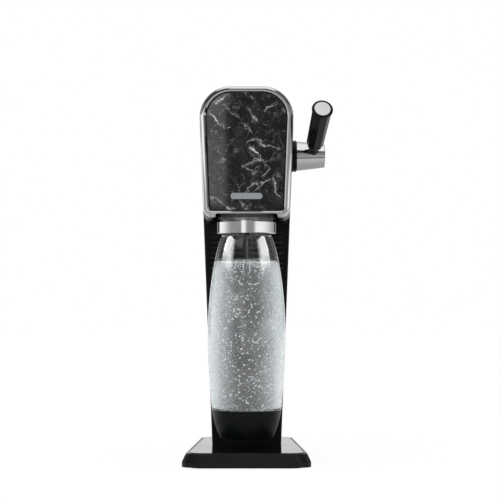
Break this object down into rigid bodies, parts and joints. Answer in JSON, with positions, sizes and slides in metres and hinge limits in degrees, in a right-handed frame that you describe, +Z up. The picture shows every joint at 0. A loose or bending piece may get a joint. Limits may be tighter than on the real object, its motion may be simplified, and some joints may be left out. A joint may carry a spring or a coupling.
{
  "type": "soda carbonator",
  "caption": "Countertop soda carbonator: black tower and base, overhanging head with a framed panel, side press lever, and a clear bottle in a tilting lock.",
  "frame": {"origin": "on the table, under the axis of the bottle, at the underside of the rubber foot", "axes": "+Z up, -Y to the front, +X to the lever's side (the right, seen from the front)"},
  "size_m": [0.1676, 0.2621, 0.428],
  "materials": {
    "black_shell": "gloss",
    "deck_gloss": "gloss",
    "inner_plastic": "matte",
    "rubber": "matte",
    "steel": "satin",
    "chrome": "polished",
    "panel_stone": "gloss",
    "badge_metal": "satin",
    "clear": "gloss",
    "black_cup": "satin",
    "grip_black": "satin",
    "cap_silver": "satin",
    "lock_grey": "satin",
    "brass": "satin",
    "pink": "satin",
    "aluminium": "satin",
    "sleeve_white": "satin",
    "hose_grey": "matte"
  },
  "bodies": {
    "machine": {"base_shell": "black_shell", "base_deck": "deck_gloss", "bottom_plate": "inner_plastic", "rubber_foot": "rubber", "base_screws": "steel", "tower_screws": "steel", "tower_shell": "black_shell", "column_cover": "black_shell", "spine": "inner_plastic", "head_shell": "black_shell", "bezel": "chrome", "front_panel": "panel_stone", "panel_carrier": "inner_plastic", "badge": "badge_metal", "head_frame": "inner_plastic", "lever_collar": "grip_black", "shaft_bushes": "inner_plastic", "lever_spring": "steel", "rocker_lugs": "steel", "rocker_pin": "steel", "plunger_spring": "steel", "gas_cylinder": "aluminium", "cylinder_sleeve": "sleeve_white", "cylinder_adapter": "pink", "valve_pin": "brass", "cylinder_pad": "rubber", "gas_dock": "inner_plastic", "dock_shelf": "inner_plastic", "lock_pins": "steel", "gas_elbow": "brass", "gas_hose": "hose_grey", "cover_rib": "inner_plastic"},
    "lever": {"lever_hub": "chrome", "hub_cap": "chrome", "lever_stem": "grip_black", "lever_grip": "grip_black", "lever_end_cap": "cap_silver", "lever_shaft": "steel", "lever_cam": "inner_plastic", "shaft_clip": "steel"},
    "rocker": {"rocker": "steel"},
    "plunger": {"valve_plunger": "steel"},
    "bottle_lock": {"lock_ring": "chrome", "lock_body": "lock_grey", "lock_pivots": "steel", "lock_jaws": "inner_plastic", "neck_seal": "rubber", "nozzle_block": "inner_plastic", "nozzle_tube": "inner_plastic", "relief_valve": "brass", "bottle": "clear", "bottle_cup": "black_cup"},
    "rear_cover": {"rear_cover": "black_shell"},
    "button": {"cover_button": "grip_black"},
    "lock_handle": {"lock_handle": "pink"}
  },
  "joints": [
    {"name": "lever_press", "type": "hinge", "parent": "machine", "child": "lever", "pos_m": [0, 0, 0.354], "axis": [1, 0, 0], "range_deg": [0, 45], "stiffness_Nm_per_rad": 1.2, "springref_deg": -28.65},
    {"name": "rocker_tilt", "type": "hinge", "parent": "machine", "child": "rocker", "pos_m": [0, 0.07, 0.37471], "axis": [1, 0, 0], "range_deg": [-5.2, 0]},
    {"name": "plunger_slide", "type": "slide", "parent": "machine", "child": "plunger", "axis": [0, 0, -1], "range_m": [0, 0.0031], "deforming": ["plunger_spring"]},
    {"name": "bottle_tilt", "type": "hinge", "parent": "machine", "child": "bottle_lock", "pos_m": [0, 0.012, 0.298], "axis": [-1, 0, 0], "range_deg": [0, 15]},
    {"name": "cover_tilt", "type": "hinge", "parent": "machine", "child": "rear_cover", "pos_m": [0, 0.156, 0.0194], "axis": [-1, 0, 0], "range_deg": [0, 40]},
    {"name": "button_press", "type": "slide", "parent": "rear_cover", "child": "button", "axis": [0, -1, 0], "range_m": [0, 0.003], "stiffness_N_per_m": 400, "springref_m": -0.003},
    {"name": "lock_lift", "type": "hinge", "parent": "machine", "child": "lock_handle", "pos_m": [0, 0.104, 0.3385], "axis": [1, 0, 0], "range_deg": [0, 90]}
  ],
  "couplings": [
    {"joint": "rocker_tilt", "follows": "lever_press", "ratio": -0.11235},
    {"joint": "plunger_slide", "follows": "lever_press", "m_per_rad": 0.0038197}
  ]
}
